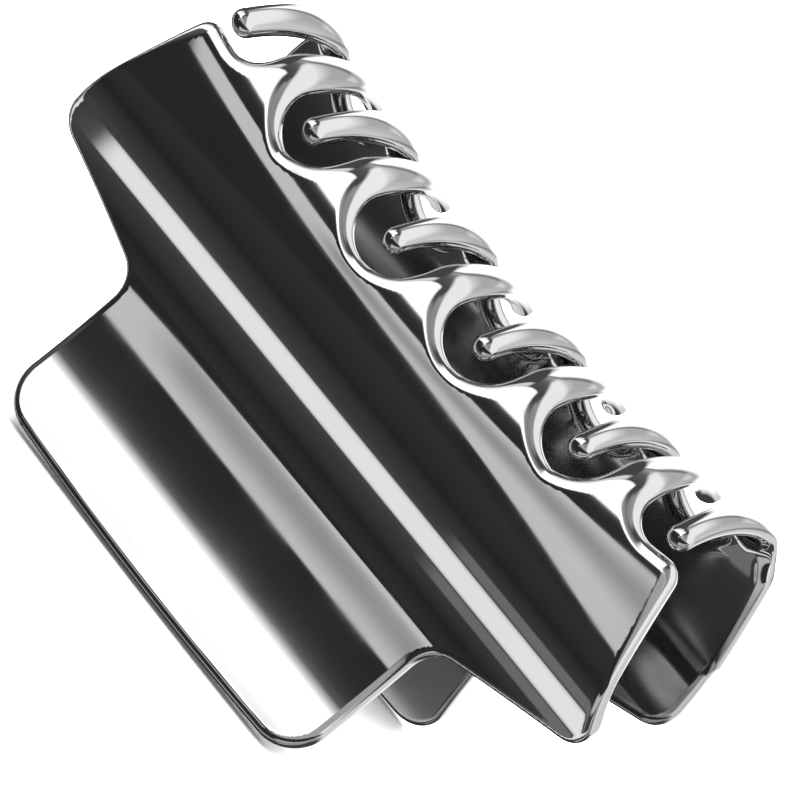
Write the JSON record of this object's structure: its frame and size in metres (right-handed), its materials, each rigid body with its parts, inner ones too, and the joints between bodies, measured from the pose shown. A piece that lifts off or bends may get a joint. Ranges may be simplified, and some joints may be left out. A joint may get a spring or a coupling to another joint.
{
  "type": "claw hair clip",
  "caption": "Spring-loaded claw hair clip: two bowed chrome jaws with curved ball-tipped teeth that interlace, on a hinge pin.",
  "frame": {"origin": "under the middle of the hinge pin, on the surface that the clip stands on", "axes": "+X along the hinge pin and the length of the clip, +Y from the five-tooth front jaw to the six-tooth rear jaw, +Z from the finger tabs up to the teeth"},
  "size_m": [0.089, 0.0352, 0.0505],
  "materials": {
    "front_jaw": "mirror chrome plating on a moulded jaw",
    "rear_jaw": "mirror chrome plating on a moulded jaw",
    "hinge_pin": "bright drawn steel",
    "torsion_spring": "bright spring wire"
  },
  "bodies": {
    "front": {"front_jaw": "front_jaw", "hinge_pin": "hinge_pin", "torsion_spring": "torsion_spring"},
    "rear": {"rear_jaw": "rear_jaw"}
  },
  "joints": [
    {"name": "jaw_hinge", "type": "hinge", "parent": "front", "child": "rear", "pos_m": [0, 0, 0.02108], "axis": [-1, 0, 0], "range_deg": [0, 72], "stiffness_Nm_per_rad": 0.2, "springref_deg": -34.38, "deforming": ["torsion_spring"]}
  ]
}
